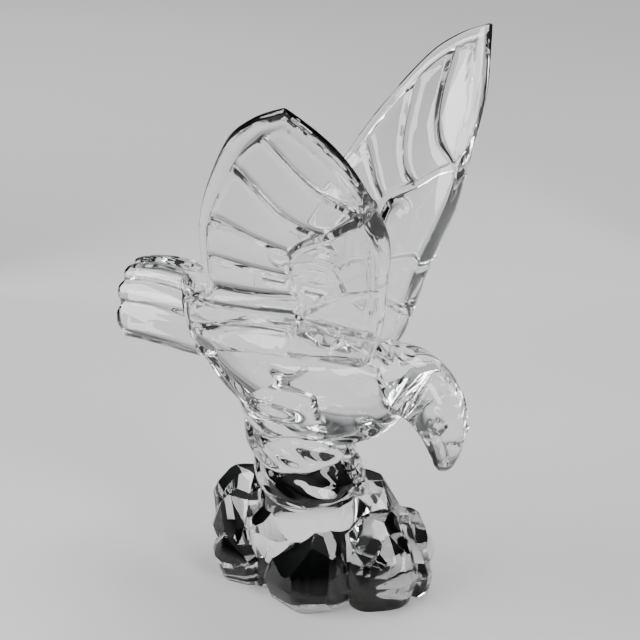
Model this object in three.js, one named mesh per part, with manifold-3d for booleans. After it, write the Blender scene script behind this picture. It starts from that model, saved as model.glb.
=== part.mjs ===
// Crystal eagle landing on a craggy rock, cast as one solid piece of clear crystal.
// Millimetres, +Z up. The bird faces -Y, its right side is on -X.
import * as THREE from 'three';
import { mergeVertices } from 'three/addons/utils/BufferGeometryUtils.js';
import Module from 'manifold-3d';

const wasm = await Module();
wasm.setup();

// Overall sizes
const PERCH_HEIGHT = 39;
const BIRD_HEIGHT = 170;

// Rock
const ROCK_LENGTH = 100;
const ROCK_LEAN_ANGLE = 18;
const ROCK_TOP_TILT = 9;
const ROCK_UNDERCUT_SLOPE = 0.22;

// How unevenly the faces of a crag are turned, set out, shouldered, leaned and tucked in
const UNEVEN_TURN_SHARE = 0.3;
const UNEVEN_OUT_SHARE = 0.8;
const UNEVEN_SHOULDER_SHARE = 0.3;
const UNEVEN_LEAN_SHARE = 0.5;
const UNEVEN_FOOT_SHARE = 0.6;

// Legs clothed in feathers, standing on the rock
const LEG_RADIUS = 18;
const LEG_FOLD_SAG = 2.2;
const LEG_SUNK = 16;
const TALON_RADIUS = 3.7;
const TALON_TALL_SHARE = 1.25;
const LEG_SIDES = 26;
const LEG_RINGS = 30;
const FOOT_TOP_SHARE = 2;

// Wings and tail
const WING_FEATHERS = 9;
const FEATHER_STEPS = 4;
const WING_EDGE = 4;
const WING_ARM = 7;
const ARM_RAISE = 2.5;
const FEATHER_GROOVE = 1.4;
const FEATHER_GATHER = 0.28;
const COVERT_RAISE = 1.3;
const TAIL_FEATHERS = 7;
const TAIL_THICK = 7;
const TAIL_GROOVE = 1.4;
const TAIL_STEPS = 8;

const WELD = 1e-4;

// A point of the bird from shares of its height, in percent above the perch
function onBird(across, back, up) {
  const one = BIRD_HEIGHT / 100;
  return new THREE.Vector3(across * one, back * one, PERCH_HEIGHT + up * one);
}

// Smooth value at share t of a table of rows, running through every row
function along(rows, t) {
  const last = rows.length - 1;
  const place = Math.min(Math.max(t, 0), 1) * last;
  const row = Math.min(Math.floor(place), last - 1);
  const f = place - row;
  const before = rows[Math.max(row - 1, 0)];
  const from = rows[row];
  const to = rows[row + 1];
  const after = rows[Math.min(row + 2, last)];
  const rise = f * f * (3 - 2 * f);
  return from.map((value, i) => {
    const slopeFrom = (to[i] - before[i]) / 2;
    const slopeTo = (after[i] - value) / 2;
    const bend = f * (1 - f) * (slopeFrom * (1 - f) - slopeTo * f);
    return value + (to[i] - value) * rise + bend;
  });
}

function ramp(from, to, value) {
  const f = Math.min(Math.max((value - from) / (to - from), 0), 1);
  return f * f * (3 - 2 * f);
}

// Volume with its sign, to tell a shape that has been turned inside out
function signedVolume(points, faces) {
  let total = 0;
  const [a, b, c] = [new THREE.Vector3(), new THREE.Vector3(), new THREE.Vector3()];
  for (let i = 0; i < faces.length; i += 3) {
    a.fromArray(points, 3 * faces[i]);
    b.fromArray(points, 3 * faces[i + 1]);
    c.fromArray(points, 3 * faces[i + 2]);
    total += a.dot(b.cross(c)) / 6;
  }
  return total;
}

// Closed solid from a geometry whose every vertex is moved by place()
function solid(geometry, place) {
  const points = geometry.attributes.position;
  const vertex = new THREE.Vector3();
  for (let i = 0; i < points.count; i += 1) {
    place(vertex.fromBufferAttribute(points, i));
    points.setXYZ(i, vertex.x, vertex.y, vertex.z);
  }
  geometry.deleteAttribute('normal');
  geometry.deleteAttribute('uv');
  const welded = mergeVertices(geometry, WELD);
  const vertProperties = new Float32Array(welded.attributes.position.array);
  const triVerts = new Uint32Array(welded.index.array);
  if (signedVolume(vertProperties, triVerts) < 0) triVerts.reverse();
  return new wasm.Manifold(new wasm.Mesh({ numProp: 3, vertProperties, triVerts }));
}

// Body, neck, head and beak: back, up, half width and half depth along the bird
const BODY_ROWS = [
  [38, 43.5, 0, 0],
  [33, 41, 6, 3.6],
  [26, 35.4, 9, 7.6],
  [17.6, 30.3, 11.2, 10.6],
  [8.2, 27.4, 12.3, 13.2],
  [-0.6, 26.8, 12.3, 13.5],
  [-8.2, 28.5, 11.2, 12],
  [-14.7, 31.6, 9.3, 9.3],
  [-20.4, 32.8, 8.3, 7.6],
  [-25.4, 30.6, 7.5, 6.7],
  [-28.6, 25.8, 6, 5.4],
  [-29.8, 21, 4.5, 4],
  [-29.8, 17.2, 2.9, 2.6],
  [-28.9, 13.6, 0, 0],
];

const BODY_SIDES = 24;
const STEPS_TO_A_ROW = 3;

function body() {
  const step = 0.001;
  const rings = STEPS_TO_A_ROW * (BODY_ROWS.length - 1);
  return solid(new THREE.SphereGeometry(1, BODY_SIDES, rings), (p) => {
    const t = Math.acos(Math.min(Math.max(p.y, -1), 1)) / Math.PI;
    const round = Math.atan2(p.z, p.x);
    const [back, up, wide, deep] = along(BODY_ROWS, t);
    const ahead = along(BODY_ROWS, t + step);
    const behind = along(BODY_ROWS, t - step);
    const run = new THREE.Vector2(ahead[0] - behind[0], ahead[1] - behind[1]).normalize();
    const lift = deep * Math.sin(round);
    p.copy(onBird(wide * Math.cos(round), back + run.y * lift, up - run.x * lift));
  });
}

// Wing: feathers fan from the arm to the rim; both lines as back and up
const ARM_ROWS = [
  [-5.9, 29.4],
  [-15.3, 40],
  [-19.4, 55.3],
  [-22.4, 67.1],
  [-22.4, 75.3],
];
const RIM_ROWS = [
  [21.5, 26.5],
  [27.5, 31.5],
  [28.3, 38.7],
  [26, 46],
  [18.6, 51],
  [16.5, 57.5],
  [13.2, 66.5],
  [7.3, 78],
  [-2.3, 91.2],
  [-9.5, 97],
  [-16.8, 100.2],
];

// Stance of the wings, as shares of the bird's height in percent: where the flare and the cupping
// start, how deep a wing is from front to rim, and how far its parts stand out
const SHOULDER_UP_SHARE = 41.8;
const SHOULDER_BACK_SHARE = -20.6;
const WING_DEEP_SHARE = 29.4;
const WING_ROOT_SHARE = 4.4;
const FLARE_SLOPE = 0.17;
const FLARE_BEND_SLOPE = 0.0072;
const CUP_SHARE = 5.3;
const ROLL_SHARE = 7;
const ROLL_FROM_SHARE = 28.8;
const ROLL_HIGH_SHARE = 41.2;
const ROLL_POWER = 1.3;
const TIP_BOW_SHARE = 2.6;

// How far the cupped wing stands out from the middle at a place of its side view
function wingOut(back, up) {
  const above = up - SHOULDER_UP_SHARE;
  const rear = (back - SHOULDER_BACK_SHARE) / WING_DEEP_SHARE;
  const flare = FLARE_SLOPE * above + FLARE_BEND_SLOPE * Math.max(above, 0) ** 2;
  const cup = CUP_SHARE * ramp(0, 1, rear);
  const high = Math.min(Math.max((up - ROLL_FROM_SHARE) / ROLL_HIGH_SHARE, 0), 1);
  const roll = ROLL_SHARE * high * Math.min(Math.max(rear, 0), ROLL_POWER) ** ROLL_POWER;
  return WING_ROOT_SHARE + flare + cup + roll;
}

// Middle surface of a wing: s runs over the rim from body to tip, t out from arm to rim
function wingMiddle(s, t) {
  const [armBack, armUp] = along(ARM_ROWS, s);
  const [rimBack, rimUp] = along(RIM_ROWS, s);
  const bow = TIP_BOW_SHARE * ramp(0.85, 1, s) * Math.sin(Math.PI * t);
  const back = armBack + (rimBack - armBack) * t - bow;
  const up = armUp + (rimUp - armUp) * t;
  return [back, up, wingOut(back, up)];
}

// Lip of the smooth coverts: share t at even steps over the feathers, from body to tip
const LIP_ROWS = [[0.4], [0.4], [0.4], [0.4], [0.44], [0.465], [0.495], [0.48], [0.3], [0.12], [0.1]];
const LIP_HALF_SHARE = 0.03;

// Knot that the feathers gather to, as shares over the rim and out from the arm
const KNOT_OVER_SHARE = 0.45;
const KNOT_OUT_SHARE = 0.42;

// Place over the rim of a feather line at share t: the feathers gather toward the coverts
function gathered(feather, t) {
  const inside = 1 - (2 * feather - 1) ** 4;
  const pull = ramp(0, KNOT_OUT_SHARE, t) * (1 - ramp(KNOT_OUT_SHARE, 1, t));
  return feather + FEATHER_GATHER * (KNOT_OVER_SHARE - feather) * inside * pull;
}

// Widths on the wing: of the thick arm, of a groove in its feather, of the rounded edges
const ARM_WIDE_SHARE = 0.35;
const GROOVE_WIDE_SHARE = 0.3;
const ROUNDED_SHARE = 0.05;
const RIM_BEVEL_SHARE = 0.6;
const ARM_BEVEL_SHARE = 0.45;

// Thickness in millimetres: thick arm, raised coverts, grooves between feathers
function wingThick(feather, t, lip) {
  const plain = WING_ARM + (WING_EDGE - WING_ARM) * ramp(0, ARM_WIDE_SHARE, t);
  const coverts = COVERT_RAISE * (1 - ramp(lip - LIP_HALF_SHARE, lip + LIP_HALF_SHARE, t));
  const share = feather * WING_FEATHERS;
  const fromLine = Math.abs(share - Math.round(share));
  const groove = (1 - ramp(0, GROOVE_WIDE_SHARE, fromLine)) * ramp(lip, lip + 2 * LIP_HALF_SHARE, t);
  const wrist = ramp(0.3, 0.6, feather) * ramp(0.97, 0.78, feather);
  const arm = ARM_RAISE * ramp(ARM_WIDE_SHARE, 0, t) * wrist;
  return plain + coverts + arm - FEATHER_GROOVE * groove;
}

// Rows of points out along a feather: shares of the coverts, then of the open feather
const COVERT_ROWS = [0, 0.22, 0.5, 0.8];
const OPEN_ROWS = [0, 0.2, 0.4, 0.6, 0.8, 0.93, 1];

function wing(side) {
  const rows = COVERT_ROWS.length + OPEN_ROWS.length;
  return solid(new THREE.BoxGeometry(1, 1, 1, WING_FEATHERS * FEATHER_STEPS, rows, 1), (p) => {
    const feather = p.x + 0.5;
    const [lip] = along(LIP_ROWS, feather);
    const places = COVERT_ROWS.map((share) => share * (lip - LIP_HALF_SHARE));
    const start = lip + LIP_HALF_SHARE;
    places.push(lip - LIP_HALF_SHARE, ...OPEN_ROWS.map((share) => start + share * (1 - start)));
    const t = places[Math.round((p.y + 0.5) * rows)];
    const [back, up, out] = wingMiddle(gathered(feather, t), t);
    const d = 0.1;
    const slopeBack = (wingOut(back + d, up) - wingOut(back - d, up)) / (2 * d);
    const slopeUp = (wingOut(back, up + d) - wingOut(back, up - d)) / (2 * d);
    const normal = new THREE.Vector3(1, -slopeBack, -slopeUp).normalize();
    const bevel = p.z > 0 ? 1 - RIM_BEVEL_SHARE * ramp(1 - ROUNDED_SHARE, 1, t) : 1;
    const ridge = 1 - ARM_BEVEL_SHARE * ramp(ROUNDED_SHARE, 0, t);
    const half = wingThick(feather, t, lip) * Math.sign(p.z) * 0.5 * bevel * ridge;
    p.copy(onBird(out, back, up)).addScaledVector(normal, half);
    p.x *= side;
  });
}

// Tail: crown line as back and up, with half width and how far the sides droop
const TAIL_ROWS = [
  [14, 40, 6, 6],
  [25, 44.5, 10, 11.5],
  [34.5, 46.8, 12.4, 12.6],
  [43.5, 47, 13.6, 12.4],
  [51.5, 45.5, 14.2, 11.8],
];

// How far the tail's end is rounded and scalloped, and how far its end and sides thin out
const TAIL_ROUND_SHARE = 0.2;
const TAIL_SCALLOP_SHARE = 0.03;
const TAIL_END_SHARE = 0.35;
const TAIL_SIDE_SHARE = 0.3;
const FLUTE_WIDE_SHARE = 0.35;

function tail() {
  const grid = new THREE.BoxGeometry(1, 1, 1, TAIL_FEATHERS * FEATHER_STEPS, TAIL_STEPS, 1);
  return solid(grid, (p) => {
    const q = p.x * 2;
    const t = p.y + 0.5;
    const share = (q + 1) * 0.5 * TAIL_FEATHERS;
    const fromLine = Math.abs(share - Math.round(share));
    const between = 1 - ramp(0, FLUTE_WIDE_SHARE, fromLine);
    const groove = between * ramp(0.1, 0.4, t);
    const rounding = TAIL_ROUND_SHARE * q * q * t + TAIL_SCALLOP_SHARE * between * ramp(0.8, 1, t);
    const [back, up, wide, droop] = along(TAIL_ROWS, t - rounding);
    const ends = TAIL_END_SHARE * ramp(0.9, 1, t) + TAIL_SIDE_SHARE * ramp(0.85, 1, Math.abs(q));
    const rim = 1 - ends;
    const half = (TAIL_THICK * rim - TAIL_GROOVE * groove) * 0.5 * Math.sign(p.z);
    const slope = (2 * droop * q) / wide;
    const normal = new THREE.Vector3(slope, 0, 1).normalize();
    p.copy(onBird(wide * q, back, up - droop * q * q)).addScaledVector(normal, half);
    p.z -= TAIL_THICK / 2;
  });
}

// Legs: middle back and height over the perch in shares of the bird, share of the leg radius
const LEG_ROWS = [
  [4.2, 0.3, 1.04],
  [4.2, 1.6, 1.05],
  [4.2, 2.4, 1.12],
  [4.6, 4.2, 1.17],
  [5.4, 7.2, 1.08],
  [6, 9.6, 0.96],
  [6.2, 10.2, 1.1],
  [6.6, 12, 1.18],
  [7.4, 15, 1.12],
  [8, 18, 1.02],
  [8.4, 19, 1.12],
  [8.8, 23, 1.06],
];

function legs() {
  const foot = solid(new THREE.CylinderGeometry(1, 1, 1, LEG_SIDES, 1), (p) => {
    const up = p.y < 0 ? PERCH_HEIGHT - LEG_SUNK : onBird(0, 0, FOOT_TOP_SHARE).z;
    const round = Math.atan2(p.z, p.x);
    const reach = Math.hypot(p.x, p.z) * LEG_RADIUS * LEG_ROWS[0][2];
    const middle = onBird(0, LEG_ROWS[0][0], 0).y;
    p.set(reach * Math.cos(round), middle + reach * Math.sin(round), up);
  });
  const tiers = solid(new THREE.CylinderGeometry(1, 1, 1, LEG_SIDES, LEG_RINGS), (p) => {
    const round = Math.atan2(p.z, p.x);
    const [back, up, share] = along(LEG_ROWS, p.y + 0.5);
    const reach = Math.hypot(p.x, p.z) * LEG_RADIUS * share;
    const sag = LEG_FOLD_SAG * (Math.cos(2 * round) - Math.sin(round)) * Math.hypot(p.x, p.z);
    const middle = onBird(0, back, up);
    p.set(reach * Math.cos(round), middle.y + reach * Math.sin(round), middle.z - sag);
  });
  return foot.add(tiers);
}

// Talons: knuckles down the front of the legs, as across, back and up
const TALON_ROWS = [
  [1.6, -4.7, 11],
  [1.8, -5.9, 8.3],
  [2, -6.8, 5.6],
  [2.3, -7.6, 2.8],
];

function talons() {
  const knuckle = ([across, back, up]) => solid(new THREE.SphereGeometry(1, 10, 8), (p) => {
    p.multiplyScalar(TALON_RADIUS).setZ(p.z * TALON_TALL_SHARE);
    p.add(onBird(across, back, up));
  });
  return TALON_ROWS.map(knuckle).reduce((sum, shape) => sum.add(shape));
}

// Crags of the rock: across, back and reach as percent of its length, top and widest line as
// percent of the perch height, number of side faces, first bearing
const CRAGS = [
  [3, 9, 22, 101, 44, 11, 10],
  [-7.5, 0.5, 19.5, 100, 20, 15, 3],
  [4, -20, 17, 86, 24, 13, 20],
  [16, -24, 13.5, 80, 42, 9, 0],
  [12, -32, 7.5, 46, 22, 7, 25],
  [17, -6, 14, 106, 68, 8, 34],
  [-8, 14, 12.5, 98, 58, 9, 5],
  [0, 35, 14.8, 100, 58, 9, 40],
  [-7, 30, 14.5, 84, 46, 10, 25],
  [-12, 28.5, 12.5, 54, 28, 8, 10],
  [17, 18, 18, 94, 34, 9, 15],
  [13, 36, 12, 72, 40, 8, 50],
  [24, 6, 11, 69, 30, 8, 20],
];

// A number between -1 and 1 that looks random but is the same every time
function uneven(a, b) {
  const value = Math.sin(a * 12.9898 + b * 78.233) * 43758.5453;
  return 2 * (value - Math.floor(value)) - 1;
}

// Keeps what lies inside a plane at a bearing and a lean that passes out and up from the middle
function cut(block, across, back, bearing, lean, out, up) {
  const [a, tip] = [THREE.MathUtils.degToRad(bearing), THREE.MathUtils.degToRad(lean)];
  const level = new THREE.Vector3(Math.cos(a), Math.sin(a), 0);
  const outward = level.clone().multiplyScalar(Math.cos(tip)).setZ(Math.sin(tip));
  const through = new THREE.Vector3(across, back, up).addScaledVector(level, out);
  const distance = outward.dot(through);
  return block.trimByPlane(outward.negate().toArray(), -distance);
}

function crag([acrossShare, backShare, reachShare, topShare, waistShare, faces, bearing], index) {
  const [across, back, reach] = [acrossShare, backShare, reachShare].map((v) => v * ROCK_LENGTH / 100);
  const [top, waist] = [topShare, waistShare].map((v) => v * PERCH_HEIGHT / 100);
  const far = 2 * reach;
  const box = new THREE.BoxGeometry(far * 2, far * 2, top + far);
  let block = solid(box, (p) => p.add(new THREE.Vector3(across, back, (top + far) / 2)));
  for (let k = 0; k < faces; k += 1) {
    const turn = 360 * (k + UNEVEN_TURN_SHARE * uneven(index, k)) / faces + bearing;
    const out = reach * (1 + UNEVEN_OUT_SHARE * uneven(k, index + 5) / faces);
    const shoulder = waist * (1 + UNEVEN_SHOULDER_SHARE * uneven(k + 7, index));
    const lean = ROCK_LEAN_ANGLE * (1 + UNEVEN_LEAN_SHARE * uneven(k + 3, index));
    const tuck = 1 + UNEVEN_FOOT_SHARE * uneven(k + 1, index + 2);
    const foot = Math.atan(ROCK_UNDERCUT_SLOPE * tuck);
    block = cut(block, across, back, turn, lean, out, shoulder);
    block = cut(block, across, back, turn, -THREE.MathUtils.radToDeg(foot), out, waist);
  }
  for (let k = 0; k < 3; k += 1) {
    block = cut(block, across, back, 120 * k + bearing, 90 - ROCK_TOP_TILT, 0, top);
  }
  return block.trimByPlane([0, 0, 1], 0);
}

function rock() {
  return CRAGS.map(crag).reduce((sum, block) => sum.add(block));
}

// Mesh in a named node from the finished solid
function node(name, shape, material) {
  const mesh = shape.getMesh();
  const geometry = new THREE.BufferGeometry();
  geometry.setAttribute('position', new THREE.BufferAttribute(mesh.vertProperties, 3));
  geometry.setIndex(new THREE.BufferAttribute(mesh.triVerts, 1));
  geometry.computeVertexNormals();
  const object = new THREE.Mesh(geometry, material);
  object.name = name;
  return object;
}

const crystal = new THREE.MeshStandardMaterial({ color: 0xeef2f4, roughness: 0.03, metalness: 0 });
const bird = body().add(legs()).add(talons()).add(tail()).add(wing(1)).add(wing(-1));
const eagle = new THREE.Group();
eagle.name = 'crystal_eagle_sculpture';
eagle.add(node('crystal_eagle', bird.add(rock()), crystal));

export default eagle;
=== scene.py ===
# A clear crystal eagle that lands on a craggy rock, cast and polished as one piece,
# shown on a plain pale floor from the side and a little above.
import math
import bmesh
import bpy
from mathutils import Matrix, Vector


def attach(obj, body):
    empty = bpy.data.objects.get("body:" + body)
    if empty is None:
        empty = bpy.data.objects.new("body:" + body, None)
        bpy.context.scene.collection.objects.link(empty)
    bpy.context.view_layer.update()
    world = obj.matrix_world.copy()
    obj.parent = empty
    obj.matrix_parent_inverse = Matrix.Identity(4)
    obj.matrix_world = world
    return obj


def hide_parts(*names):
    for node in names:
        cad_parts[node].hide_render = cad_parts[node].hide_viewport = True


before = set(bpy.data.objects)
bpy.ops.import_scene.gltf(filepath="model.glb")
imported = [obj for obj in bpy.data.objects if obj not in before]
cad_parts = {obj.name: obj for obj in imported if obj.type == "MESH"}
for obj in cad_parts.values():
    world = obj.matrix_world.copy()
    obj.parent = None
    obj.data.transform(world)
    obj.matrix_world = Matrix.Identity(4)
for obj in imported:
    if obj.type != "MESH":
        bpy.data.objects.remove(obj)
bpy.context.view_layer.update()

# The camera stands to the right of the bird and ahead of it, above its wing roots,
# and looks down at the middle of the sculpture.
CAMERA_PLACE = Vector((-0.4485, -0.2889, 0.3422))
CAMERA_AIM = Vector((0.01295, 0.01074, 0.103))
camera = bpy.data.objects.new("camera", bpy.data.cameras.new("camera"))
camera.location = CAMERA_PLACE
camera.rotation_euler = (CAMERA_AIM - CAMERA_PLACE).to_track_quat("-Z", "Y").to_euler()
camera.data.sensor_width = 36
camera.data.lens = 90
camera.data.clip_start = 0.01
bpy.context.scene.collection.objects.link(camera)
bpy.context.scene.camera = camera

# The rock is cast glass in crags with flat facets, ground level underneath. Each crag is a block
# cut by planes that lean in above its widest line and tuck in below it.
MM = 0.001
PERCH_HEIGHT = 39
ROCK_LENGTH = 100
ROCK_LEAN = 18
ROCK_TOP_TILT = 9
ROCK_UNDERCUT = 0.22
ROCK_EDGE_SOFT = 0.6
ROCK_SHORT = 0.3
ROCK_RIB = 3
ROCK_RIB_LONG = 6
ROCK_RIB_STEEP = 0.6
ROCK_CHIP_LEAN = 38
# how unevenly the panels are turned, set out, shouldered, leaned and tucked in, and the chips set
TURN_UNEVEN, OUT_UNEVEN, SHOULDER_UNEVEN, LEAN_UNEVEN, FOOT_UNEVEN = 0.3, 0.8, 0.3, 0.5, 0.6
CHIP_TURN_UNEVEN, CHIP_HIGH, CHIP_HIGH_UNEVEN, CHIP_INWARD = 0.4, 0.55, 0.35, 0.9
NEAR_ENOUGH = 1e-4
# across, back and reach as percent of the rock's length, top and widest line as percent of the
# perch height, side faces, first bearing
CRAGS = [
    (3, 9, 22, 101, 44, 11, 10),
    (-7.5, 0.5, 19.5, 100, 20, 15, 3),
    (4, -20, 17, 86, 24, 13, 20),
    (16, -24, 13.5, 80, 42, 9, 0),
    (12, -32, 7.5, 46, 22, 7, 25),
    (17, -6, 14, 106, 68, 8, 34),
    (-8, 14, 12.5, 98, 58, 9, 5),
    (0, 35, 14.8, 100, 58, 9, 40),
    (-7, 30, 14.5, 84, 46, 10, 25),
    (-12, 28.5, 12.5, 54, 28, 8, 10),
    (17, 18, 18, 94, 34, 9, 15),
    (13, 36, 12, 72, 40, 8, 50),
    (24, 6, 11, 69, 30, 8, 20),
]


# a repeatable uneven number from -1 to 1
def uneven(a, b):
    value = math.sin(a * 12.9898 + b * 78.233) * 43758.5453
    return 2 * (value - math.floor(value)) - 1


def link_mesh(name, shape):
    mesh = bpy.data.meshes.new(name)
    shape.to_mesh(mesh)
    shape.free()
    piece = bpy.data.objects.new(name, mesh)
    bpy.context.scene.collection.objects.link(piece)
    return piece


def slice_off(block, through, outward):
    bmesh.ops.bisect_plane(
        block, geom=block.verts[:] + block.edges[:] + block.faces[:], dist=NEAR_ENOUGH,
        plane_co=through, plane_no=outward, clear_outer=True)
    rim = [edge for edge in block.edges if edge.is_boundary]
    bmesh.ops.holes_fill(block, edges=rim, sides=0)


def cut(block, middle, bearing, lean, out, up):
    a, tip = math.radians(bearing), math.radians(lean)
    level = Vector((math.cos(a), math.sin(a), 0))
    outward = level * math.cos(tip) + Vector((0, 0, math.sin(tip)))
    slice_off(block, Vector((middle[0], middle[1], up)) + level * out, outward)


# ribs: a flat strip along each long upright edge between two panels
def ribbed(block):
    bmesh.ops.recalc_face_normals(block, faces=block.faces)
    strips = []
    for edge in block.edges:
        run = edge.verts[1].co - edge.verts[0].co
        if run.length > ROCK_RIB_LONG and abs(run.z) > ROCK_RIB_STEEP * run.length:
            outward = (edge.link_faces[0].normal + edge.link_faces[1].normal).normalized()
            deep = ROCK_RIB / 2 * math.tan(edge.calc_face_angle(0) / 2)
            strips.append((edge.verts[0].co + run / 2 - outward * deep, outward))
    for through, outward in strips:
        slice_off(block, through, outward)


# bearing, distance out, height of the shoulder and lean of one panel of a crag
def panel(k, faces, bearing, reach, waist, index):
    turn = 360 * (k + TURN_UNEVEN * uneven(index, k)) / faces + bearing
    out = reach * (1 + OUT_UNEVEN * uneven(k, index + 5) / faces)
    shoulder = waist * (1 + SHOULDER_UNEVEN * uneven(k + 7, index))
    lean = ROCK_LEAN * (1 + LEAN_UNEVEN * uneven(k + 3, index))
    return turn, out, shoulder, lean


def crag(row, index):
    across, back, reach = [share * ROCK_LENGTH / 100 for share in row[:3]]
    top, waist = [share * PERCH_HEIGHT / 100 for share in row[3:5]]
    faces, bearing = row[5:]
    middle = (across, back)
    panels = [panel(k, faces, bearing, reach, waist, index) for k in range(faces)]
    block = bmesh.new()
    bmesh.ops.create_cube(block, size=1)
    bmesh.ops.scale(block, vec=(reach * 4, reach * 4, top * 3), verts=block.verts)
    bmesh.ops.translate(block, vec=(across, back, top), verts=block.verts)
    for k, (turn, out, shoulder, lean) in enumerate(panels):
        tuck = 1 + FOOT_UNEVEN * uneven(k + 1, index + 2)
        foot = math.degrees(math.atan(ROCK_UNDERCUT * tuck))
        cut(block, middle, turn, lean, out, shoulder)
        cut(block, middle, turn, -foot, out, waist)
    for k in range(3):
        cut(block, middle, 120 * k + bearing, 90 - ROCK_TOP_TILT, 0, top)
    ribbed(block)
    for k, (turn, out, shoulder, lean) in enumerate(panels):
        chip_turn = turn + 180 / faces * (1 + CHIP_TURN_UNEVEN * uneven(k + 2, index + 3))
        chip_high = CHIP_HIGH + CHIP_HIGH_UNEVEN * uneven(k + 4, index)
        chip_up = shoulder + (top - shoulder) * chip_high
        chip_out = out - CHIP_INWARD * (chip_up - shoulder) * math.tan(math.radians(lean))
        cut(block, middle, chip_turn, ROCK_CHIP_LEAN, chip_out, chip_up)
    bmesh.ops.remove_doubles(block, verts=block.verts, dist=ROCK_SHORT)
    bmesh.ops.recalc_face_normals(block, faces=block.faces)
    bmesh.ops.bevel(
        block, geom=block.edges[:], offset=ROCK_EDGE_SOFT, affect="EDGES", segments=2,
        profile=0.5, material=-1, clamp_overlap=True)
    slice_off(block, (0, 0, 0), (0, 0, -1))
    bmesh.ops.recalc_face_normals(block, faces=block.faces)
    return link_mesh("crag_" + str(index), block)


crags = [crag(row, index) for index, row in enumerate(CRAGS)]

# The legs are clothed in feathers down to the rock: three rounded tiers that tuck in
# under each other, cast with the body above and the rock below.
BIRD_HEIGHT = 170
LEG_RADIUS = 18
LEG_FOLD_SAG = 2.2
LEG_FOLD_DEEP = 0.4
LEG_TUFTS = 5
LEG_SWEEP = 0.14
LEG_FOLD_TOP = 2.4
# middle back and height over the perch in percent of the bird's height, share of the radius
LEG_ROWS = [
    (4.2, -9.4, 0),
    (4.2, -9.4, 0.95),
    (4.2, 0.3, 1.04),
    (4.2, 1.6, 1.05),
    (4.2, 2.4, 1.12),
    (4.6, 4.2, 1.17),
    (5.4, 7.2, 1.08),
    (6, 9.6, 0.96),
    (6.2, 10.2, 1.1),
    (6.6, 12, 1.18),
    (7.4, 15, 1.12),
    (8, 18, 1.02),
    (8.4, 19, 1.12),
    (8.8, 23, 1.06),
    (8.8, 23, 0),
]


def on_bird(across, back, up):
    one = BIRD_HEIGHT / 100
    return Vector((across * one, back * one, PERCH_HEIGHT + up * one))


def along(rows, t):
    last = len(rows) - 1
    place = min(max(t, 0), 1) * last
    row = min(math.floor(place), last - 1)
    f = place - row
    before, start = rows[max(row - 1, 0)], rows[row]
    end, after = rows[row + 1], rows[min(row + 2, last)]
    rise = f * f * (3 - 2 * f)
    values = []
    for i, value in enumerate(start):
        slope_from = (end[i] - before[i]) / 2
        slope_to = (after[i] - value) / 2
        bend = f * (1 - f) * (slope_from * (1 - f) - slope_to * f)
        values.append(value + (end[i] - value) * rise + bend)
    return values


def ramp(start, end, value):
    f = min(max((value - start) / (end - start), 0), 1)
    return f * f * (3 - 2 * f)


def round_form(name, around, rings, place):
    shape = bmesh.new()
    bmesh.ops.create_uvsphere(shape, u_segments=around, v_segments=rings, radius=1)
    for vertex in shape.verts:
        t = math.acos(min(max(vertex.co.z, -1), 1)) / math.pi
        vertex.co = place(t, math.atan2(vertex.co.y, vertex.co.x))
    bmesh.ops.recalc_face_normals(shape, faces=shape.faces)
    if shape.calc_volume(signed=True) < 0:
        bmesh.ops.reverse_faces(shape, faces=shape.faces)
    return link_mesh(name, shape)


def leg_point(t, turn):
    back, up, share = along(LEG_ROWS, t)
    sag = LEG_FOLD_SAG * (math.cos(2 * turn) - math.sin(turn)) * ramp(-1, 1.6, up)
    sweep = LEG_TUFTS * (turn + LEG_SWEEP * up)
    soft_folds = abs(math.sin(sweep / 2)) * 2 + 0.5 * math.sin(2 * sweep)
    cut_in = LEG_FOLD_DEEP * (soft_folds - LEG_FOLD_TOP) * ramp(0, 3, up) * min(share, 1)
    radius = LEG_RADIUS * share + cut_in
    return on_bird(0, back, up) + Vector((
        radius * math.cos(turn), radius * math.sin(turn), -sag))


legs = round_form("legs", 72, 130, leg_point)

# Talons are a ridge of small rounded knuckles down the front of the legs to the rock,
# cast in one with both.
TALON_RADIUS = 3.7
TALON_TALL = 1.25
# across, back, up
TALON_ROWS = [
    (1.6, -4.7, 11),
    (1.8, -5.9, 8.3),
    (2, -6.8, 5.6),
    (2.3, -7.6, 2.8),
]


def talon(row, index):
    shape = bmesh.new()
    bmesh.ops.create_uvsphere(shape, u_segments=28, v_segments=18, radius=TALON_RADIUS)
    bmesh.ops.scale(shape, vec=(1, 1, TALON_TALL), verts=shape.verts)
    bmesh.ops.translate(shape, vec=on_bird(*row), verts=shape.verts)
    return link_mesh("talon_" + str(index), shape)


talons = [talon(row, index) for index, row in enumerate(TALON_ROWS)]

# The body runs from the tail root through the deep breast to the bowed neck, the head
# and the hooked beak, all one smooth polished form.
# back, up, half width, half depth
BODY_ROWS = [
    (38, 43.5, 0, 0),
    (33, 41, 6, 3.6),
    (26, 35.4, 9, 7.6),
    (17.6, 30.3, 11.2, 10.6),
    (8.2, 27.4, 12.3, 13.2),
    (-0.6, 26.8, 12.3, 13.5),
    (-8.2, 28.5, 11.2, 12),
    (-14.7, 31.6, 9.3, 9.3),
    (-20.4, 32.8, 8.3, 7.6),
    (-25.4, 30.6, 7.5, 6.7),
    (-28.6, 25.8, 6, 5.4),
    (-29.8, 21, 4.5, 4),
    (-29.8, 17.2, 2.9, 2.6),
    (-28.9, 13.6, 0, 0),
]
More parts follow.
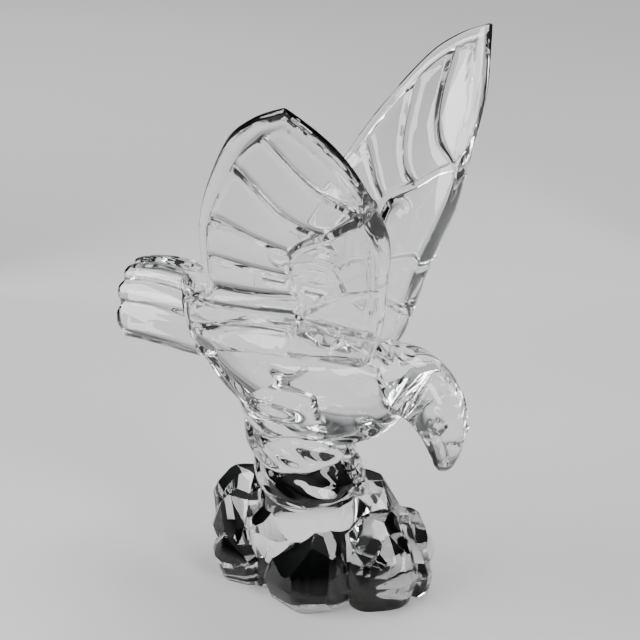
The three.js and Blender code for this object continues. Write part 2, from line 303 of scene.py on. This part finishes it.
# lines cut in the polished head and neck: place along the body and turn around it,
# followed by the depth and half width of the cut
MOUTH_LINE = ([(0.783, 3.24), (0.79, 3), (0.805, 2.72), (0.86, 2.58), (0.915, 2.46)], 1.8, 1.7)
CERE_LINE = ([(0.846, 1.6), (0.836, 2.06), (0.828, 2.34)], 0.9, 1.2)
COLLAR_LINES = [
    ([(0.535, 2.3), (0.578, 2.48), (0.552, 1.9), (0.535, 1.6)], 0.9, 1.6),
    ([(0.552, 1.9), (0.605, 2.24), (0.58, 1.6)], 0.8, 1.4),
]
BODY_LINES = [MOUTH_LINE, CERE_LINE] + COLLAR_LINES
BROW_LINE = [(0.735, 2.6), (0.765, 2.32), (0.81, 2.2)]
BROW_RAISE, BROW_HALF = 1.1, 2.2
# height and radius of the eye, depth and radius of the hollow that it sits in
EYE_PLACE = (0.772, 2.62)
EYE_RAISE, EYE_RADIUS, EYE_HOLLOW, HOLLOW_RADIUS = 2, 1.9, 1.8, 3.8
# millimetres for one step of place along the head, and for one radian around it
HEAD_LONG = 112
HEAD_ROUND = 9
# depth of the ripples on the crown and of the flutes on the flank, and how closely they follow
CROWN_RIPPLE, CROWN_ALONG, CROWN_AROUND, CROWN_EVEN, CROWN_BEAT = 0.13, 2.2, 9, 1.4, 190
FLANK_FLUTE, FLANK_AROUND, FLANK_ALONG = 0.5, 6.5, 9
# the beak ends in a blunt polished tip, a little short of its last row
TIP_SHORT = 0.3
TIP_TAPER = 0.3


def line_distance(place, line):
    nearest = 1000
    for start, end in zip(line, line[1:]):
        run, off = end - start, place - start
        f = min(max(off.dot(run) / run.length_squared, 0), 1)
        nearest = min(nearest, (off - run * f).length)
    return nearest


def dome(distance, radius):
    return max(0, 1 - (distance / radius) ** 2)


def on_head(place, around):
    return Vector((place * HEAD_LONG, around * HEAD_ROUND))


def body_relief(t, turn):
    fold = math.atan2(math.sin(turn), -abs(math.cos(turn))) % (2 * math.pi)
    place = on_head(t, fold)
    relief = 0
    for line, deep, half_wide in BODY_LINES:
        points = [on_head(*point) for point in line]
        relief -= deep * max(0, 1 - line_distance(place, points) / half_wide)
    to_eye = (place - on_head(*EYE_PLACE)).length
    relief += EYE_RAISE * dome(to_eye, EYE_RADIUS) - EYE_HOLLOW * dome(to_eye, HOLLOW_RADIUS)
    brow = [on_head(*point) for point in BROW_LINE]
    relief += BROW_RAISE * dome(line_distance(place, brow), BROW_HALF)
    crown = ramp(0.63, 0.68, t) * (1 - ramp(0.8, 0.83, t)) * (1 - ramp(1.75, 2.05, fold))
    flank = ramp(0.1, 0.2, t) * (1 - ramp(0.42, 0.52, t))
    relief += FLANK_FLUTE * flank * (math.sin(FLANK_AROUND * fold + FLANK_ALONG * t) - 1)
    ripple = math.sin(t * HEAD_LONG * CROWN_ALONG + CROWN_AROUND * fold)
    beat = CROWN_EVEN + math.sin(t * CROWN_BEAT)
    return relief + CROWN_RIPPLE * crown * ripple * beat


def body_point(t, turn):
    back, up, wide, deep = along(BODY_ROWS, t)
    one_row = 1 / (len(BODY_ROWS) - 1)
    into_tip = 1 - (1 - t) / one_row
    if into_tip > 0:
        back, up = along(BODY_ROWS, t - TIP_SHORT * into_tip * one_row)[:2]
        rounding = (1 - TIP_TAPER * into_tip) * math.sqrt(1 - into_tip ** 3)
        wide, deep = [value * rounding for value in BODY_ROWS[-2][2:]]
    ahead = along(BODY_ROWS, t + 0.001)
    behind = along(BODY_ROWS, t - 0.001)
    run = Vector((ahead[0] - behind[0], ahead[1] - behind[1])).normalized()
    side = Vector((wide * math.cos(turn), deep * math.sin(turn)))
    if side.length > 0.5:
        side *= 1 + body_relief(t, turn) / (side.length * BIRD_HEIGHT / 100)
    return on_bird(side.x, back + run.y * side.y, up - run.x * side.y)


body = round_form("body", 104, 168, body_point)

# The tail is a short fan of fluted feathers, arched like a roof tile,
# with a blunt rounded end.
TAIL_FEATHERS = 7
TAIL_THICK = 7
TAIL_GROOVE = 1.4
TAIL_GROOVE_HALF = 0.35
TAIL_EDGE_ROUND = 3.2
TAIL_ROUNDING = 0.2
TAIL_SCALLOP = 0.03
TAIL_LONG = 62
CROWDING = 0.145
# crown line as back and up, half width, droop of the sides
TAIL_ROWS = [
    (14, 40, 6, 6),
    (25, 44.5, 10, 11.5),
    (34.5, 46.8, 12.4, 12.6),
    (43.5, 47, 13.6, 12.4),
    (51.5, 45.5, 14.2, 11.8),
]


def blunt(distance, width):
    short = 1 - min(max(distance / width, 0), 1)
    return (1 - short ** 3) ** (1 / 3)


def crowded(share):
    return share - CROWDING * math.sin(2 * math.pi * share)


def sheet_form(name, columns, rows, place):
    shape = bmesh.new()
    for face in (1, -1):
        grid = bmesh.ops.create_grid(shape, x_segments=columns, y_segments=rows, size=1)
        for vertex in grid["verts"]:
            s, t = (vertex.co.x + 1) / 2, (vertex.co.y + 1) / 2
            vertex.co = place(s, t, face)
    bmesh.ops.remove_doubles(shape, verts=shape.verts, dist=0.002)
    bmesh.ops.recalc_face_normals(shape, faces=shape.faces)
    return link_mesh(name, shape)


def tail_point(s, t, face):
    q = 2 * crowded(s) - 1
    t = crowded(t)
    share = (q + 1) / 2 * TAIL_FEATHERS
    from_line = abs(share - round(share))
    groove = (1 - ramp(0, TAIL_GROOVE_HALF, from_line)) * ramp(0.1, 0.4, t)
    scallop = TAIL_SCALLOP * (1 - ramp(0, 0.4, from_line)) * ramp(0.8, 1, t)
    rounding = TAIL_ROUNDING * q * q * t + scallop
    back, up, wide, droop = along(TAIL_ROWS, t - rounding)
    to_end = (1 - t) * TAIL_LONG
    to_side = (1 - abs(q)) * wide * BIRD_HEIGHT / 100
    edge = blunt(to_end, TAIL_EDGE_ROUND) * blunt(to_side, TAIL_EDGE_ROUND) * blunt(t * TAIL_LONG, 1)
    half = (TAIL_THICK - TAIL_GROOVE * groove) / 2 * edge * face
    normal = Vector((2 * droop * q / wide, 0, 1)).normalized()
    middle = on_bird(wide * q, back, up - droop * q * q)
    return middle + normal * half - Vector((0, 0, TAIL_THICK / 2))


tail = sheet_form("tail", 98, 48, tail_point)

# Each wing is a cupped fan raised high and flared outward: a thick arm at the front, smooth raised
# coverts with a curved lip, long feathers parted by grooves that gather toward the coverts,
# and a thick clear rim with a crisp inner line.
WING_FEATHERS = 9
FEATHER_COLUMNS = 18
# rows of the grid over the coverts, over the open feathers and over the rim band
COVERT_GRID, OPEN_GRID, BAND_GRID = 30, 32, 12
COVERT_CROWDING, BAND_CROWDING = 1.3, 1.5
WING_EDGE = 4
WING_ARM = 7
ARM_RAISE = 2.5
FEATHER_GROOVE = 1.3
FEATHER_GROOVE_HALF = 0.11
FEATHER_GATHER = 0.28
FEATHER_SWELL = 0.5
LOW_FEATHER_SWELL = 1.2
COVERT_RAISE = 1.6
LIP_HALF = 0.016
RIM_BAND = 3.2
RIM_BAND_TIP = 6.5
RIM_STEP = 0.4
RIM_LINE = 1
RIM_BEVEL = 0.4
RIM_ROUND, ARM_ROUND, TIP_ROUND, ROOT_ROUND = 1.6, 3, 2, 1.5
LIP_BEAD = 0.9
LIP_BEAD_HALF = 2.2
ARM_LINE_AWAY = 4.4
ARM_LINE_DEEP = 0.7
FINE_LINE_HALF = 1.1
DISH_RADIUS = 8
DISH_DEEP = 1.5
DISH_RIM_DEEP = 0.6
FOLD_DEEP = 1.1
FOLD_HALF = 1.8
# back and up of the arm and of the rim, from the body to the tip
ARM_ROWS = [
    (-5.9, 29.4),
    (-15.3, 40),
    (-19.4, 55.3),
    (-22.4, 67.1),
    (-22.4, 75.3),
]
RIM_ROWS = [
    (21.5, 26.5),
    (27.5, 31.5),
    (28.3, 38.7),
    (26, 46),
    (18.6, 51),
    (16.5, 57.5),
    (13.2, 66.5),
    (7.3, 78),
    (-2.3, 91.2),
    (-9.5, 97),
    (-16.8, 100.2),
]
# stance as percent of the bird's height: where the flare and the cupping start, how deep a wing
# is from front to rim, and how far its parts stand out from the middle
SHOULDER_UP = 41.8
SHOULDER_BACK = -20.6
WING_DEEP = 29.4
WING_ROOT = 4.4
FLARE = 0.17
FLARE_BEND = 0.0072
CUP = 5.3
ROLL = 7
ROLL_FROM = 28.8
ROLL_HIGH = 41.2
ROLL_REACH = 1.3
ROLL_BEND = 1.3
TIP_BOW = 2.6
# knot that the feathers gather to, as shares over the rim and out from the arm
KNOT_OVER = 0.45
KNOT_OUT = 0.42
# lip of the coverts at even steps over the feathers, as a share of the way out to the rim
LIP_SHARES = [0.4, 0.4, 0.4, 0.4, 0.44, 0.465, 0.495, 0.48, 0.3, 0.12, 0.1]
LIP_ROWS = [(share,) for share in LIP_SHARES]


def wing_out(back, up):
    above = up - SHOULDER_UP
    rear = (back - SHOULDER_BACK) / WING_DEEP
    flare = FLARE * above + FLARE_BEND * max(above, 0) ** 2
    cup = CUP * ramp(0, 1, rear)
    high = min(max((up - ROLL_FROM) / ROLL_HIGH, 0), 1)
    return WING_ROOT + flare + cup + ROLL * high * min(max(rear, 0), ROLL_REACH) ** ROLL_BEND


def wing_middle(s, t):
    arm_back, arm_up = along(ARM_ROWS, s)
    rim_back, rim_up = along(RIM_ROWS, s)
    bow = TIP_BOW * ramp(0.85, 1, s) * math.sin(math.pi * t)
    back = arm_back + (rim_back - arm_back) * t - bow
    up = arm_up + (rim_up - arm_up) * t
    return Vector((wing_out(back, up), back, up))


DISH_MIDDLE = wing_middle(0.59, 0.36)
# folds that run from the knot at the lip to the arm
FOLD_LINES = [
    [wing_middle(0.4, 0.42), wing_middle(0.46, 0.28), wing_middle(0.54, 0.03)],
    [wing_middle(0.37, 0.42), wing_middle(0.345, 0.2), wing_middle(0.345, 0.03)],
]


def gathered(feather, t):
    inside = 1 - (2 * feather - 1) ** 4
    pull = ramp(0, KNOT_OUT, t) * (1 - ramp(KNOT_OUT, 1, t))
    return feather + FEATHER_GATHER * (KNOT_OVER - feather) * inside * pull


def band_wide(feather):
    return RIM_BAND + (RIM_BAND_TIP - RIM_BAND) * ramp(0.6, 0.85, feather)


def way_out(feather, v, lip):
    row = v * (COVERT_GRID + OPEN_GRID + BAND_GRID)
    long = (wing_middle(feather, 1) - wing_middle(feather, 0)).length * BIRD_HEIGHT / 100
    band = 1 - band_wide(feather) / long
    if row <= COVERT_GRID:
        return lip * (row / COVERT_GRID) ** COVERT_CROWDING
    if row <= COVERT_GRID + OPEN_GRID:
        return lip + (band - lip) * (row - COVERT_GRID) / OPEN_GRID
    left = 1 - (row - COVERT_GRID - OPEN_GRID) / BAND_GRID
    return 1 - (1 - band) * left ** BAND_CROWDING


def wing_thick(feather, t, lip, to_rim):
    plain = WING_ARM + (WING_EDGE - WING_ARM) * ramp(0, 0.35, t)
    coverts = COVERT_RAISE * (1 - ramp(lip - LIP_HALF, lip + LIP_HALF, t))
    share = feather * WING_FEATHERS
    from_line = abs(share - round(share))
    band = band_wide(feather)
    open_part = ramp(lip, lip + 2 * LIP_HALF, t) * ramp(band - 0.4, band + 0.4, to_rim)
    groove = FEATHER_GROOVE * max(0, 1 - from_line / FEATHER_GROOVE_HALF)
    fullness = 1 + LOW_FEATHER_SWELL * (1 - ramp(0.3, 0.5, feather))
    swell = FEATHER_SWELL * fullness * (1 - (1 - 2 * from_line) ** 2)
    arm = ARM_RAISE * (1 - ramp(0, 0.3, t)) * ramp(0.3, 0.6, feather)
    arm = arm * (1 - ramp(0.7, 0.92, feather))
    rim_line = RIM_LINE * max(0, 1 - abs(to_rim - band) / FINE_LINE_HALF) * ramp(0.04, 0.12, feather)
    return plain + coverts + arm - rim_line + open_part * (swell - groove - RIM_STEP)


def wing_cut(middle, to_arm, to_lip, feather):
    one = BIRD_HEIGHT / 100
    to_dish = (middle - DISH_MIDDLE).length * one
    bead = LIP_BEAD * dome(to_lip, LIP_BEAD_HALF) * ramp(0.2, 0.4, feather)
    cut_in = DISH_DEEP * dome(to_dish, DISH_RADIUS) - bead
    cut_in += DISH_RIM_DEEP * max(0, 1 - abs(to_dish - DISH_RADIUS) / FINE_LINE_HALF)
    for line in FOLD_LINES:
        cut_in += FOLD_DEEP * max(0, 1 - line_distance(middle, line) * one / FOLD_HALF)
    arm_line = max(0, 1 - abs(to_arm - ARM_LINE_AWAY) / FINE_LINE_HALF) * ramp(0.2, 0.35, feather)
    return cut_in + ARM_LINE_DEEP * arm_line * (1 - ramp(0.8, 0.9, feather))


def wing_point(feather, v, face):
    lip = along(LIP_ROWS, feather)[0]
    t = way_out(feather, v, lip)
    s = gathered(feather, t)
    one = BIRD_HEIGHT / 100
    middle = wing_middle(s, t)
    d = 0.1
    back, up = middle.y, middle.z
    slope_back = (wing_out(back + d, up) - wing_out(back - d, up)) / (2 * d)
    slope_up = (wing_out(back, up + d) - wing_out(back, up - d)) / (2 * d)
    normal = Vector((1, -slope_back, -slope_up)).normalized()
    to_rim = (wing_middle(s, 1) - middle).length * one
    to_arm = (wing_middle(s, 0) - middle).length * one
    to_tip = (wing_middle(1, t) - middle).length * one
    to_root = (wing_middle(0, t) - middle).length * one
    edge = blunt(to_rim, RIM_ROUND) * blunt(to_arm, ARM_ROUND)
    edge = edge * blunt(to_tip, TIP_ROUND) * blunt(to_root, ROOT_ROUND)
    near = min(to_rim, to_tip)
    bevel = RIM_BEVEL * (1 - min(near / RIM_BAND, 1)) if face > 0 else 0
    thick = wing_thick(feather, t, lip, near) / 2
    if face > 0:
        to_lip = (t - lip) * (to_rim + to_arm)
        thick -= wing_cut(middle, to_arm, to_lip, feather)
    return on_bird(middle.x, middle.y, middle.z) + normal * thick * edge * (1 - bevel) * face


def other_wing_point(feather, v, face):
    point = wing_point(feather, v, face)
    return Vector((-point.x, point.y, point.z))


WING_GRID = (WING_FEATHERS * FEATHER_COLUMNS, COVERT_GRID + OPEN_GRID + BAND_GRID)
wings = [
    sheet_form("left_wing", *WING_GRID, wing_point),
    sheet_form("right_wing", *WING_GRID, other_wing_point),
]

# The parts are one casting: they are joined to one closed solid, scaled to metres,
# and the rounded forms are shaded smooth while the facets of the rock stay crisp.
CREASE_ANGLE = 32


def join(base, parts):
    for part in parts:
        union = base.modifiers.new("cast", "BOOLEAN")
        union.operation = "UNION"
        union.solver = "MANIFOLD"
        union.object = part
    return base


eagle = join(body, [legs, tail] + talons + wings + crags)
seen = bpy.context.evaluated_depsgraph_get()
cast = bmesh.new()
cast.from_object(eagle, seen)
for part in [body, legs, tail] + talons + wings + crags:
    bpy.data.objects.remove(part)
bmesh.ops.scale(cast, vec=(MM, MM, MM), verts=cast.verts)
for face in cast.faces:
    face.smooth = True
for edge in cast.edges:
    edge.smooth = len(edge.link_faces) == 2 and edge.calc_face_angle(0) < math.radians(CREASE_ANGLE)
crystal_piece = link_mesh("cast_crystal_eagle", cast)

# Lead crystal is colourless and polished like water, with the faint waviness of a casting
# that was fire polished rather than cut.
crystal = bpy.data.materials.new("lead_crystal")
crystal.use_nodes = True
nodes, links = crystal.node_tree.nodes, crystal.node_tree.links
shader = nodes["Principled BSDF"]
shader.inputs["Base Color"].default_value = (0.985, 0.99, 0.992, 1)
shader.inputs["Transmission Weight"].default_value = 1
shader.inputs["IOR"].default_value = 1.54
where = nodes.new("ShaderNodeTexCoord")
wave = nodes.new("ShaderNodeTexNoise")
wave.inputs["Scale"].default_value = 90
wave.inputs["Detail"].default_value = 1
links.new(where.outputs["Object"], wave.inputs["Vector"])
bump = nodes.new("ShaderNodeBump")
bump.inputs["Strength"].default_value = 0.12
bump.inputs["Distance"].default_value = 0.0006
links.new(wave.outputs["Fac"], bump.inputs["Height"])
links.new(bump.outputs["Normal"], shader.inputs["Normal"])
haze = nodes.new("ShaderNodeTexNoise")
haze.inputs["Scale"].default_value = 400
links.new(where.outputs["Object"], haze.inputs["Vector"])
spread = nodes.new("ShaderNodeMapRange")
spread.inputs["To Min"].default_value = 0
spread.inputs["To Max"].default_value = 0.02
links.new(haze.outputs["Fac"], spread.inputs["Value"])
links.new(spread.outputs["Result"], shader.inputs["Roughness"])
crystal_piece.data.materials.append(crystal)
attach(crystal_piece, "root")
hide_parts("crystal_eagle")

# The floor is a plain pale sheet of paper, far wider than the view,
# with the eagle standing on it by its own weight.
floor_shape = bmesh.new()
bmesh.ops.create_grid(floor_shape, x_segments=1, y_segments=1, size=4)
floor = link_mesh("floor", floor_shape)
paper = bpy.data.materials.new("pale_floor")
paper.use_nodes = True
paper.node_tree.nodes["Principled BSDF"].inputs["Base Color"].default_value = (0.5, 0.5, 0.49, 1)
paper.node_tree.nodes["Principled BSDF"].inputs["Roughness"].default_value = 0.7
floor.data.materials.append(paper)

# Two dark cards stand behind the eagle just outside the picture and draw dark edges in the glass.
# They show in the glass alone, so they never stand in the way of a view from another side.
FLAG_THICK = 0.004
FLAG_ASIDE = 0.41
FLAG_BEHIND = 0.28
FLAG_WIDE = 0.36
FLAG_HIGH = 0.42
FLAG_FOOT = 0.03
felt = bpy.data.materials.new("dark_felt")
felt.use_nodes = True
felt.node_tree.nodes["Principled BSDF"].inputs["Base Color"].default_value = (0.01, 0.01, 0.01, 1)
felt.node_tree.nodes["Principled BSDF"].inputs["Roughness"].default_value = 0.95
looking = (CAMERA_AIM - CAMERA_PLACE).to_2d().normalized()
for name, side in (("right_flag", 1), ("left_flag", -1)):
    card = bmesh.new()
    bmesh.ops.create_cube(card, size=1)
    bmesh.ops.scale(card, vec=(FLAG_THICK, FLAG_WIDE, FLAG_HIGH), verts=card.verts)
    bmesh.ops.translate(card, vec=(0, 0, FLAG_FOOT + FLAG_HIGH / 2), verts=card.verts)
    flag = link_mesh(name, card)
    off = looking * FLAG_BEHIND + Vector((looking.y, -looking.x)) * side * FLAG_ASIDE
    flag.location = (CAMERA_AIM.x + off.x, CAMERA_AIM.y + off.y, 0)
    flag.rotation_euler = (0, 0, math.atan2(looking.y, looking.x))
    flag.data.materials.append(felt)
    flag.visible_camera = False

# The room is grey by height, pale at the horizon and overhead, and dark between,
# with three soft lamps: a wide window behind, a tall one in front and one above.
world = bpy.data.worlds.new("room")
world.use_nodes = True
sky_nodes, sky_links = world.node_tree.nodes, world.node_tree.links
direction = sky_nodes.new("ShaderNodeTexCoord")
split = sky_nodes.new("ShaderNodeSeparateXYZ")
sky_links.new(direction.outputs["Generated"], split.inputs["Vector"])
shades = sky_nodes.new("ShaderNodeValToRGB")
sky_links.new(split.outputs["Z"], shades.inputs["Fac"])
shades.color_ramp.elements[0].position = 0.12
shades.color_ramp.elements[0].color = (0.06, 0.065, 0.07, 1)
shades.color_ramp.elements[1].position = 0.75
shades.color_ramp.elements[1].color = (0.95, 0.97, 1, 1)
middle_shade = shades.color_ramp.elements.new(0.3)
middle_shade.color = (0.2, 0.21, 0.22, 1)
horizon_shade = shades.color_ramp.elements.new(0)
horizon_shade.color = (0.8, 0.81, 0.82, 1)
sky_links.new(shades.outputs["Color"], sky_nodes["Background"].inputs["Color"])
sky_nodes["Background"].inputs["Strength"].default_value = 0.6
bpy.context.scene.world = world


def lamp(name, place, width, height, power):
    data = bpy.data.lights.new(name, "AREA")
    data.shape = "RECTANGLE"
    data.size = width
    data.size_y = height
    data.energy = power
    light = bpy.data.objects.new(name, data)
    light.location = place
    light.rotation_euler = (CAMERA_AIM - Vector(place)).to_track_quat("-Z", "Y").to_euler()
    bpy.context.scene.collection.objects.link(light)


lamp("window_lamp", (-0.6, 0.9, 1.1), 1.3, 0.6, 26)
lamp("front_lamp", (-0.3, -1.2, 0.8), 0.35, 1, 12)
lamp("top_lamp", (0.5, 0, 1.5), 0.8, 0.8, 20)
